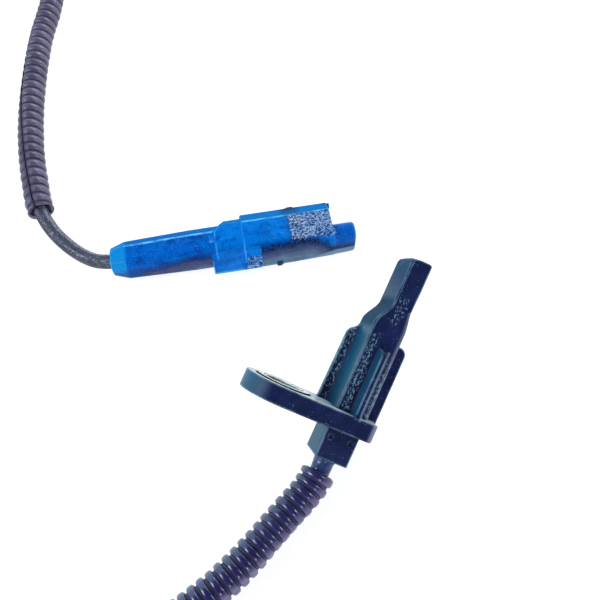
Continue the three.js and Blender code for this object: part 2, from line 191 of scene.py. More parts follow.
def swept(name, s, radius, n=28, phase=0.0):
    """A tube along the lead's line; radius is an array over s, or over s and angle."""
    p, t, left, up = at(s)
    a = 2 * np.pi * np.arange(n) / n + phase
    r = radius(s[:, None], a[None, :]) * np.ones((len(s), n))
    v = p[:, None] + r[..., None] * (np.cos(a)[None, :, None] * left[:, None] + np.sin(a)[None, :, None] * up[:, None])
    ob = new_mesh(name, v.reshape(-1, 3), tube_faces(len(s), n))
    lp = np.stack([np.repeat(s, n), (2.0 * np.cos(a))[None].repeat(len(s), 0).ravel(), (2.0 * np.sin(a))[None].repeat(len(s), 0).ravel()], 1)
    put_vector(ob, "lp", lp)
    return ob


# ------------------------------------------------------------------ cable
cable_s = np.concatenate([np.arange(0.3, 30, 0.6), np.arange(30, LEAD - 75, 1.4), np.arange(LEAD - 75, LEAD - 0.2, 0.5)])
cable = swept(
    "cable", cable_s,
    lambda s, a: 1.99 + 0.012 * np.sin(2 * a + s / 23.0) + 0.010 * np.sin(s / 3.1 + 1.3 * np.sin(a)) * np.sin(s / 7.7),
    n=30,
)
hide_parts("cable_jacket")
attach(cable, "root")

# ------------------------------------------------------------------ split conduit
PITCH = (2.5, 3.2)                                                 # at the head, at the plug
STEPS = [0.0, 0.05, 0.09, 0.107, 0.13, 0.18, 0.30, 0.5, 0.70, 0.82, 0.87, 0.893, 0.91, 0.95]


def conduit_mesh():
    grid = np.linspace(CONDUIT_A, CONDUIT_B, 8001)
    ease = np.clip((grid - 70) / 330, 0, 1)
    pitch = PITCH[0] + (PITCH[1] - PITCH[0]) * ease * ease * (3 - 2 * ease)
    # ribs counted from the cut end, where the first one starts
    count = 0.06 + np.concatenate([[0], np.cumsum(np.diff(grid) / (0.5 * (pitch[1:] + pitch[:-1])))])
    marks = np.array([k + u for k in range(int(count[-1]) + 1) for u in STEPS])
    marks = marks[(marks > count[0] + 0.02) & (marks < count[-1] - 0.02)]
    s = np.concatenate([[CONDUIT_A], np.interp(marks, count, grid), [CONDUIT_B]])
    p, t, left, up = at(s)
    far = np.clip((s - 60) / (CONDUIT_B - 160), 0, 1)              # 0 near the head, 1 near the plug
    far = far * far * (3 - 2 * far)
    turn = np.interp(s, grid, count)
    u = np.mod(turn, 1.0) - 0.5
    half = 0.395 + 0.012 * far
    crest = np.sqrt(np.clip(1 - (np.abs(u) / half) ** (4.0 - 1.9 * far), 0, 1))
    crest = crest + 0.10 * (1 - far) * np.exp(-((np.abs(u) - 0.5) / 0.03) ** 2)
    uneven = 1 + 0.04 * np.sin(np.floor(turn) * 2.3) + 0.03 * np.sin(np.floor(turn) * 5.1 + 1)
    near = np.clip((150 - s) / 100, 0, 1)
    depth = (0.56 + 0.36 * near * near * (3 - 2 * near)) * uneven + 0.18 * far
    # the slit turns from the near side at the head, under the loop, up on to the top at the plug
    back = CONDUIT_B - s
    slit = np.interp(s, [0, 10, 22, 38, 52, 66, 90, 140, CONDUIT_B - 130, CONDUIT_B - 65, CONDUIT_B - 45, CONDUIT_B - 30, CONDUIT_B],
                     [-30, -28, -6, 14, 22, 14, -24, -100, -176, -196, -217, -238, -262])
    slit = np.radians(slit + wavy(s, 5, [(150, 3), (61, 2)]))
    no, ni = 32, 6
    gap = (0.055 + 0.02 * np.sin(s / 37.0)) * (1 - 0.45 * far)
    k = np.arange(no) / (no - 1)
    ease = 0.5 - 0.5 * np.cos(np.pi * k)
    k = 0.55 * k + 0.45 * ease                                      # closer together at the slit
    ao = slit[:, None] + gap[:, None] + (2 * np.pi - 2 * gap[:, None]) * k
    ki = np.arange(ni) / (ni - 1)
    ai = slit[:, None] + 2 * np.pi - 1.25 * gap[:, None] - (2 * np.pi - 2.5 * gap[:, None]) * ki
    away = np.minimum(ao - slit[:, None], slit[:, None] + 2 * np.pi - ao)   # angle from the slit
    flat = 1 / (1 + np.exp(-(away - 0.34) / 0.07))                  # ribs fade beside the slit
    base = 3.18 - 0.13 * far[:, None]
    amp = depth[:, None] * (0.22 + 0.78 * flat)
    ro = base + amp * crest[:, None] + 0.20 * (1 - flat)
    side = np.where(ao - slit[:, None] < np.pi, 1, -1)
    lap = np.exp(-(away / 0.42) ** 2)
    ro = ro + 0.17 * lap * side                                     # one lip stands over the other
    oval = 1 + 0.012 * np.cos(2 * (ao - slit[:, None])) + 0.006 * np.sin(s / 19.0)[:, None]
    ro = np.minimum(ro * oval, 4.16)
    ri = np.maximum(base + 0.8 * depth[:, None] * crest[:, None] - 0.46, 2.3) * np.ones((1, ni))
    a = np.concatenate([ao, ai], 1)
    r = np.concatenate([ro, ri], 1)
    v = p[:, None] + r[..., None] * (np.cos(a)[..., None] * left[:, None] + np.sin(a)[..., None] * up[:, None])
    v[..., 2] = np.maximum(v[..., 2], 0.02)
    m, n = a.shape
    ob = new_mesh("conduit", v.reshape(-1, 3), tube_faces(m, n))
    rel = np.mod(a - slit[:, None], 2 * np.pi)
    lp = np.stack([s[:, None] * np.ones((1, n)), 3.4 * np.cos(rel), 3.4 * np.sin(rel)], -1)
    put_vector(ob, "lp", lp.reshape(-1, 3))
    rib = np.concatenate([np.repeat(crest[:, None], no, 1) * (0.4 + 0.6 * flat), np.zeros((m, ni))], 1)
    put_float(ob, "rib", rib.ravel())
    put_float(ob, "far", np.repeat(far, n))
    put_float(ob, "lip", np.concatenate([lap, np.zeros((m, ni))], 1).ravel())
    return ob


conduit = conduit_mesh()
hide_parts("split_conduit")
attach(conduit, "root")


# ------------------------------------------------------------------ moulded shapes from distances
def rounded(points, seg=6):
    """Polygon with rounded corners, from [x, y, radius]."""
    out = []
    n = len(points)
    for i in range(n):
        p = np.array(points[i][:2], float)
        r = points[i][2]
        if r <= 0:
            out.append(p)
            continue
        a = np.array(points[i - 1][:2]) - p
        b = np.array(points[(i + 1) % n][:2]) - p
        a, b = a / np.linalg.norm(a), b / np.linalg.norm(b)
        half = math.acos(max(-1, min(1, float(a @ b)))) / 2
        m = (a + b) / np.linalg.norm(a + b)
        c = p + m * (r / math.sin(half))
        s, e = p + a * (r / math.tan(half)) - c, p + b * (r / math.tan(half)) - c
        a0 = math.atan2(s[1], s[0])
        d = (math.atan2(e[1], e[0]) - a0 + math.pi) % (2 * math.pi) - math.pi
        for k in range(seg + 1):
            out.append(c + r * np.array([math.cos(a0 + d * k / seg), math.sin(a0 + d * k / seg)]))
    return np.array(out)


def sd_poly(x, y, poly):
    """Signed distance to a polygon, negative inside."""
    best, flip = None, None
    for (ax, ay), (bx, by) in zip(poly, np.roll(poly, 1, 0)):
        ex, ey = bx - ax, by - ay
        wx, wy = x - ax, y - ay
        t = np.clip((wx * ex + wy * ey) / (ex * ex + ey * ey), 0, 1)
        q = (wx - ex * t) ** 2 + (wy - ey * t) ** 2
        best = q if best is None else np.minimum(best, q)
        c1, c2, c3 = y >= ay, y < by, ex * wy > ey * wx
        f = (c1 & c2 & c3) | (~c1 & ~c2 & ~c3)
        flip = f if flip is None else flip ^ f
    return np.where(flip, -1.0, 1.0) * np.sqrt(best)


def slab(d, a, a0, a1, r=0.0):
    """A flat distance d drawn out from a0 to a1, with edges of radius r."""
    q = np.abs(a - (a0 + a1) / 2) - (a1 - a0) / 2
    u, v = d + r, q + r
    return np.minimum(np.maximum(u, v), 0) + np.sqrt(np.maximum(u, 0) ** 2 + np.maximum(v, 0) ** 2) - r


def brick(x, y, z, bx, by, bz, r=0.0):
    q = [np.abs(w - (b[0] + b[1]) / 2) - (b[1] - b[0]) / 2 + r for w, b in ((x, bx), (y, by), (z, bz))]
    out = np.sqrt(np.maximum(q[0], 0) ** 2 + np.maximum(q[1], 0) ** 2 + np.maximum(q[2], 0) ** 2)
    return out + np.minimum(np.maximum(np.maximum(q[0], q[1]), q[2]), 0) - r


def melt(a, b, k):
    """Join with a fillet."""
    h = np.maximum(k - np.abs(a - b), 0) / k
    return np.minimum(a, b) - h * h * k / 4


def carve(a, b, k=0.12):
    """Cut b out of a, with a small round at the edge."""
    h = np.maximum(k - np.abs(a + b), 0) / k
    return np.maximum(a, -b) + h * h * k / 4


def moulded(name, f, lo, hi, h, place, reach=0.32):
    """A closed mesh of f = 0, refined onto the surface, with its own coordinates and how far each point stands out."""
    lo, hi = np.array(lo, float), np.array(hi, float)
    n = np.ceil((hi - lo) / h).astype(int) + 1
    ax = [lo[k] + h * np.arange(n[k]) for k in range(3)]
    d = f(ax[0][:, None, None], ax[1][None, :, None], ax[2][None, None, :])
    d = np.clip(np.broadcast_to(d, n), -3 * h, 3 * h).astype(np.float32).copy()
    g = openvdb.FloatGrid(3 * h)
    g.copyFromArray(d)
    pts, tris, quads = g.convertToPolygons(0.0, 0.0)
    p = np.asarray(pts, float) * h + lo

    def slope(q, e):
        out = np.empty_like(q)
        for k in range(3):
            a, b = q.copy(), q.copy()
            a[:, k] += e
            b[:, k] -= e
            out[:, k] = (f(*a.T) - f(*b.T)) / (2 * e)
        return out

    for e in (0.06, 0.03):
        v, s = f(*p.T), slope(p, e)
        step = (v / np.maximum((s * s).sum(1), 0.25))[:, None] * s
        size = np.linalg.norm(step, axis=1)[:, None]
        p = p - step * np.minimum(1, 0.5 * h / np.maximum(size, 1e-9))
    out = np.zeros(len(p))
    v0 = f(*p.T)
    for k in range(3):
        for e in (-reach, reach):
            q = p.copy()
            q[:, k] += e
            out += f(*q.T) - v0
    ob_faces = [list(q) for q in quads] + [list(q) for q in tris]
    world = place(p)
    world[:, 2] = np.maximum(world[:, 2], 0.02)
    if len(quads):
        q = world[np.asarray(quads)]
        vol = np.einsum("ij,ij->i", q[:, 0], np.cross(q[:, 1], q[:, 2])).sum() + np.einsum("ij,ij->i", q[:, 0], np.cross(q[:, 2], q[:, 3])).sum()
        if vol < 0:
            ob_faces = [q[::-1] for q in ob_faces]
    ob = new_mesh(name, world, ob_faces)
    put_vector(ob, "lp", p)
    put_float(ob, "edge", out / reach)
    return ob


# ------------------------------------------------------------------ sensor head
def s_curve(x0, z0, x1, z1, n=16):
    t = np.arange(n + 1) / n
    return np.stack([x0 + (x1 - x0) * t * t * (3 - 2 * t), z0 + (z1 - z0) * t], 1)


CORE = np.concatenate([
    [[-4.2, -1.5], [4.25, -1.5]],
    s_curve(4.25, 21.6, 3.3, 27.6),
    [[3.3 - 0.7 * (1 - math.cos(q)), 38.3 + 0.7 * math.sin(q)] for q in np.radians(np.linspace(0, 90, 7))],
    [[-1.8 + 0.5 * (1 - math.cos(q)), 38.5 + 0.5 * math.sin(q)] for q in np.radians(np.linspace(90, 0, 6))],
    s_curve(-1.8, 27.6, -4.2, 21.6),
])
FLANGE = np.concatenate([
    [[-16.6 + 9.2 * math.cos(t), 9.2 * math.sin(t)] for t in np.radians(np.linspace(84.63, 275.37, 44))],
    [[4.6 + 2.2 * math.cos(t), -5.04 + 2.2 * math.sin(t)] for t in np.radians(np.linspace(-84.63, 0, 8))],
    [[4.6 + 2.2 * math.cos(t), 5.04 + 2.2 * math.sin(t)] for t in np.radians(np.linspace(0, 84.63, 8))],
])
RIGHT_FIN = rounded([[2, -1, 0], [7.7, -1, 0], [7.7, 18.8, 1.9], [2, 18.8, 0]], 7)
LEFT_FIN = rounded([[-2, -1, 0], [-2, 18.9, 0], [-6.65, 18.9, 2.0], [-6.9, -1, 0]], 7)
RIB = rounded([[-7.7, -0.3, 0], [7.7, -0.3, 0], [7.7, 16.5, 1.7], [-7.7, 16.5, 1.7]], 7)
BLOCK = rounded([[-4.09, -5.28, 0.5], [4.09, -5.28, 0.5], [4.09, 5.28, 0.5], [-4.09, 5.28, 0.5]])
FLAT = rounded([[-0.95, 37.0, 0.4], [-0.95, 22.1, 0.5], [1.7, 25.3, 0.6], [3.6, 27.6, 0], [3.6, 37.0, 0]])


def head_shape(x, y, z):
    core = slab(sd_poly(x, z, CORE), y, -5.5, 5.5, 0.22)
    t = np.clip((z - 21.6) / 6.0, 0, 1)
    t = t * t * (3 - 2 * t)
    left, right = -4.2 + 2.4 * t, 4.25 - 0.95 * t
    # small chamfer down the near left edge, a large round down the near right one that ends before the tip
    core = np.maximum(core, (left - x - y - 5.5) / math.sqrt(2) + 0.34)
    big = 1.7 - 1.35 * np.clip((z - 23.0) / 9.0, 0, 1)
    u, v = x - right + big, -y - 5.5 + big
    core = np.maximum(core, np.where((u > 0) & (v > 0), np.sqrt(u * u + v * v) - big, -9.0))
    # the tip's near left corner is worn round
    core = -melt(-core, -(((-1.8 - x) + 0.8 * (-5.5 - y) + (z - 39.0)) / 1.62 + 0.85), 0.8)
    core = -melt(-core, -(((-1.8 - x) + 0.7 * (y - 5.5) + (z - 39.0)) / 1.57 + 0.45), 0.5)
    right_fin = slab(sd_poly(x, z, RIGHT_FIN), y, -0.95, 0.95, 0.28)
    left_fin = slab(sd_poly(x, z, LEFT_FIN), y, 3.3, 5.2, 0.30)
    side = 0.60 + 0.83 * np.clip((7.7 - np.abs(y)) / 2.2, 0, 1)
    ribs = np.maximum(sd_poly(y, z, RIB) + 0.22, np.abs(x - 0.73) - side + 0.22)
    inner = np.maximum(sd_poly(y, z, RIB) + 0.22, 0) ** 2 + np.maximum(np.abs(x - 0.73) - side + 0.22, 0) ** 2
    ribs = np.minimum(ribs, 0) + np.sqrt(inner) - 0.22
    d = melt(core, right_fin, 0.6)
    d = melt(d, left_fin, 2.3)
    d = melt(d, ribs, 0.5)
    # barely raised flat on the near face of the blade, and its twin on the far face
    lift = 0.045 * (1 - np.clip((z - 28.5) / 6.0, 0, 1))
    flat = slab(sd_poly(x, z, FLAT), np.abs(y), 4.6, 5.5 + lift, 0.05)
    flat = np.maximum(flat, x - right + 0.25)
    d = np.minimum(d, flat)
    flange = slab(sd_poly(x, y, FLANGE), z, -4.3, 0.0, 0.26)
    d = melt(d, flange, 0.7)
    block = slab(sd_poly(x, y, BLOCK), z, -11.8, -2.5, 0.2)
    d = melt(d, block, 0.4)
    rr = np.sqrt(x * x + y * y)
    cone = np.maximum(rr - (2.48 + 0.35 * np.clip((z + 12.66) / 1.3, 0, 1) ** 1.6), np.maximum(z + 10.0, -(z + 12.66)))
    d = melt(d, cone, 0.6)
    d = carve(d, brick(x, y, z, (-1.0, 2.3), (-2.9, 2.9), (-7.0, 37.0)), 0.05)
    d = carve(d, np.maximum(rr - 2.3, z + 6.0), 0.2)
    rb = np.sqrt((x + 16.6) ** 2 + y * y)
    d = carve(d, rb - 6.95 + 0 * z, 0.2)
    for hx, hz in ((-2.45, -6.4), (2.5, -6.3)):
        d = carve(d, np.maximum(np.sqrt((x - hx) ** 2 + (z - hz) ** 2) - 0.62, y + 4.98), 0.12)
    # gate mark on the flange's rounded end, and the mould's parting line round the block
    gate = brick(x, y, z, (-26.4, -25.45), (0.2, 0.58), (-3.1, -1.75), 0.1)
    d = carve(d, gate, 0.1)
    line = np.maximum(np.abs(x + 4.09) - 0.11, np.abs(y + 4.35) - 0.1)
    d = carve(d, np.maximum(line, np.abs(z + 7.9) - 3.2), 0.1)
    # short slit high on the left face
    q = (z - 38.82) * 0.884 - (y + 0.56) * -0.467
    slit = np.maximum(np.abs(q) - 0.16, np.maximum(np.abs(y - 0.6) - 1.3, np.abs(x + 1.8) - 0.16))
    return carve(d, slit, 0.06)


housing = moulded("housing", head_shape, (-27.0, -10.2, -13.6), (8.6, 10.2, 39.8), 0.22, from_head)
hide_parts("sensor_housing")
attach(housing, "root")

# sleeve of the same moulding round the first of the cable
neck_s = np.linspace(5.9, 13.2, 60)


def neck_r(s, a):
    t = np.clip((s - 6.1) / 2.6, 0, 1)
    r = 2.40 + 0.20 * (1 - t) ** 2.0 - 0.08 * np.clip((s - 9.5) / 3, 0, 1)
    end = np.clip((s - 12.7) / 0.5, 0, 1)
    return r - 0.26 * end**3 + 0.035 * np.sin(3 * a + 2.4 * s) + 0.03 * np.sin(5 * a - 3.1 * s)


neck = swept("neck", neck_s, neck_r, n=48)
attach(neck, "root")


# ------------------------------------------------------------------ bush of the bolt hole
def turned(name, profile, place, n=128):
    """A closed ring turned from [radius, height] points."""
    profile = np.array(profile, float)
    m = len(profile)
    a = 2 * np.pi * np.arange(n) / n
    v = np.stack([profile[:, 0:1] * np.cos(a), profile[:, 0:1] * np.sin(a), profile[:, 1:2] * np.ones(n)], -1)
    i, k = np.meshgrid(np.arange(m), np.arange(n), indexing="ij")
    i2, k2 = (i + 1) % m, (k + 1) % n
    faces = np.stack([i * n + k, i * n + k2, i2 * n + k2, i2 * n + k], -1).reshape(-1, 4)
    ob = new_mesh(name, place(v.reshape(-1, 3)), faces.tolist())
    put_vector(ob, "lp", v.reshape(-1, 3))
    return ob


def arc(cx, cz, r, a0, a1, n=5):
    return [[cx + r * math.cos(t), cz + r * math.sin(t)] for t in np.radians(np.linspace(a0, a1, n))]


top, low = 0.30, -4.42
bush = turned(
    "bush",
    [[4.25, z] for z in np.linspace(low + 0.62, top - 0.62, 7)]
    + [[4.25 + 0.42 * (1 - math.cos(t)), top - 0.5 + 0.42 * math.sin(t)] for t in np.radians(np.linspace(8, 78, 5))]
    + [[4.72, top - 0.03], [4.80, top - 0.16], [4.96, top - 0.16], [5.06, top - 0.04], [5.4, top], [5.9, top], [6.3, top - 0.01]]
    + arc(6.52, top - 0.16, 0.16, 90, 0)
    + [[6.68, -0.6], [6.68, -1.5], [6.52, -1.62], [6.52, -2.7], [6.68, -2.82], [6.68, low + 0.6]]
    + arc(6.52, low + 0.16, 0.16, 0, -90)
    + [[6.4, low], [5.8, low], [5.2, low], [4.80, low + 0.02]]
    + [[4.25 + 0.42 * (1 - math.cos(t)), low + 0.5 - 0.42 * math.sin(t)] for t in np.radians(np.linspace(78, 8, 5))],
    lambda p: from_head(p + np.array([-16.6, 0, 0])),
)
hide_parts("flange_bush")
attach(bush, "root")

# ------------------------------------------------------------------ plug
BARREL = rounded([[-5.2, -4.5, 2.6], [4.75, -4.5, 2.0], [4.8, 2.5, 0.6], [1.95, 4.3, 0.4], [-5.1, 4.3, 2.6]])
COLLAR = rounded([[-5.65, -4.85, 2.6], [5.6, -4.85, 2.0], [5.8, 2.8, 0.5], [3.4, 4.9, 0.3], [-5.5, 4.9, 2.6]])
BODY = rounded([[-6.6, -5.25, 2.9], [7.2, -5.25, 1.2], [7.25, 2.4, 0.4], [3.05, 5.25, 0.3], [-6.6, 5.25, 2.9]])
SHROUD = rounded([[-6.5, -5.2, 2.6], [-0.6, -5.2, 2.6], [-0.6, 4.6, 2.6], [-6.5, 4.6, 2.6]])
MOUTH = rounded([[-5.35, -4.15, 1.6], [-1.55, -4.15, 1.6], [-1.55, 3.6, 1.6], [-5.35, 3.6, 1.6]])
PAD = rounded([[-8.22, -1.53, 0.35], [-7.2, -2.55, 0.35], [-4.2, -0.9, 0], [0, 0, 0], [1.0, 4.0, 0], [-1.66, 5.03, 0.3]])


def plug_shape(a, c, h):
    k = np.where(a < 4.06, 0.66 + 0.25 * np.clip(a, 0, 4.06) / 4.06, 0.91 + 0.09 * np.clip((a - 4.06) / 18, 0, 1))
    d = slab(sd_poly(c / k, h / k, BARREL) * k, a, 0.0, 37.0, 0.35)
    # collar: its end plane slants back on the far side
    collar = slab(sd_poly(c, h, COLLAR), a, 28.6, 37.0, 0.28)
    collar = np.maximum(collar, (28.6 + 0.62 * np.clip(c - 1.0, 0, 5.0) - a) * 0.85)
    d = melt(d, collar, 0.3)
    near = 1 + 0.07 * np.clip((60.75 - a) / 11.0, 0, 1) * np.clip(-c / 3.0, 0, 1)
    d = melt(d, slab(sd_poly(c / near, h, BODY), a, 36.05, 60.75, 0.4), 0.3)
    nose = 1 - 0.05 * np.clip((a - 60.75) / 6.0, 0, 1) * np.clip(-c / 3.0, 0, 1)
    d = melt(d, slab(sd_poly(c / nose, h, SHROUD), a, 52.0, PLUG_L, 0.75), 0.5)
    d = melt(d, slab(sd_poly(c, h, PAD), a, 27.2, 40.4, 0.3), 0.35)
    # lugs: far side latch, near side stop, nose guide
    lug = brick(a, c, h, (48.6, 51.3), (6.5, 7.75), (0.2, 2.2), 0.2)
    lug = np.maximum(lug, ((c - 7.0) * 0.93 - (a - 48.6) * 0.36 - 0.25))
    d = melt(d, lug, 0.3)
    stop = brick(a, c, h, (44.5, 46.5), (-7.5, -6.3), (-3.4, -1.4), 0.2)
    stop = np.maximum(stop, ((a - 45.5) * 0.62 - (c + 7.5) * 0.78 - 0.1))
    d = melt(d, stop, 0.3)
    d = melt(d, brick(a, c, h, (59.8, 61.6), (5.7, 7.0), (1.1, 2.3), 0.2), 0.3)
    # shallow guide slot along the far side
    d = carve(d, brick(a, c, h, (41.2, 47.8), (6.75, 8.0), (-2.9, -0.6), 0.15), 0.12)
    # moulded line round the barrel's rear end
    d = carve(d, np.maximum(np.maximum(np.abs(h - 0.35) - 0.07, np.abs(a - 2.2) - 1.3), np.abs(c + 3.9 * k) - 0.75), 0.05)
    rr = np.sqrt(c * c + h * h)
    d = carve(d, np.maximum(rr - 2.16, a - 24.4), 0.35)
    d = carve(d, brick(a, c, h, (20, 30), (-2.0, 1.8), (-2.0, 2.0)), 0.05)
    d = carve(d, brick(a, c, h, (29, 42.1), (-4.35, 1.8), (-3.35, 2.45)), 0.05)
    d = carve(d, brick(a, c, h, (42, 54.3), (-4.9, -1.2), (-4.1, 3.2)), 0.05)
    return carve(d, slab(sd_poly(c, h, MOUTH), a, 54.0, 70.0), 0.2)


plug = moulded("plug", plug_shape, (-0.8, -9.0, -6.0), (67.6, 8.6, 6.0), 0.23, from_plug)
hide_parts("plug_housing")
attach(plug, "root")


# ------------------------------------------------------------------ materials
class Nodes:
    """Short calls for building a node material."""

    def __init__(self, name):
        self.mat = bpy.data.materials.new(name)
        self.mat.use_nodes = True
        self.t = self.mat.node_tree
        self.out = next(n for n in self.t.nodes if n.type == "BSDF_PRINCIPLED")

    def node(self, kind, **sockets):
        n = self.t.nodes.new(kind)
        for k, v in sockets.items():
            self.link(v, n.inputs[k])
        return n

    def link(self, v, socket):
        if isinstance(v, bpy.types.NodeSocket):
            self.t.links.new(v, socket)
        elif v is not None:
            socket.default_value = v

    def attr(self, name, what="Fac"):
        n = self.t.nodes.new("ShaderNodeAttribute")
        n.attribute_name = name
        return n.outputs[what]

    def m(self, op, a, b=None, c=None, clamp=False):
        n = self.t.nodes.new("ShaderNodeMath")
        n.operation = op
        n.use_clamp = clamp
        for i, v in enumerate((a, b, c)):
            if v is not None:
                self.link(v, n.inputs[i])
        return n.outputs[0]

    def span(self, v, a, b, c=0.0, d=1.0):
        n = self.t.nodes.new("ShaderNodeMapRange")
        n.interpolation_type = "SMOOTHSTEP"
        for i, x in enumerate((v, a, b, c, d)):
            self.link(x, n.inputs[i])
        return n.outputs[0]

    def noise(self, vec, scale, detail=2.0, rough=0.5, warp=0.0):
        n = self.t.nodes.new("ShaderNodeTexNoise")
        self.link(vec, n.inputs["Vector"])
        for k, v in (("Scale", scale), ("Detail", detail), ("Roughness", rough), ("Distortion", warp)):
            self.link(v, n.inputs[k])
        return n.outputs["Fac"]

    def cells(self, vec, scale, feature="F1", out="Distance"):
        n = self.t.nodes.new("ShaderNodeTexVoronoi")
        n.feature = feature
        self.link(vec, n.inputs["Vector"])
        n.inputs["Scale"].default_value = scale
        return n.outputs[out]

    def scale(self, vec, s):
        n = self.t.nodes.new("ShaderNodeMapping")
        self.link(vec, n.inputs["Vector"])
        n.inputs["Scale"].default_value = s
        return n.outputs[0]

    def parts(self, vec):
        n = self.t.nodes.new("ShaderNodeSeparateXYZ")
        self.link(vec, n.inputs[0])
        return n.outputs

    def mix(self, f, a, b):
        n = self.t.nodes.new("ShaderNodeMix")
        n.data_type = "RGBA"
        self.link(f, n.inputs[0])
        for i, v in ((6, a), (7, b)):
            if isinstance(v, (tuple, list)) and len(v) == 3:
                v = (*v, 1.0)
            self.link(v, n.inputs[i])
        return n.outputs[2]

    def bump(self, height, distance_mm, strength=1.0, normal=None):
        n = self.t.nodes.new("ShaderNodeBump")
        n.inputs["Strength"].default_value = strength
        n.inputs["Distance"].default_value = distance_mm * MM
        self.link(height, n.inputs["Height"])
        if normal is not None:
            self.link(normal, n.inputs["Normal"])
        return n.outputs[0]

    def set(self, **k):
        for name, v in k.items():
            name = name.replace("_", " ")
            if isinstance(v, (tuple, list)) and len(v) == 3:
                v = (*v, 1.0)
            self.link(v, self.out.inputs[name])
        return self.mat


def srgb(r, g, b):
    return tuple((x / 255 / 12.92) if x <= 10 else ((x / 255 + 0.055) / 1.055) ** 2.4 for x in (r, g, b))


def wear(ob, mat):
    ob.data.materials.clear()
    ob.data.materials.append(mat)


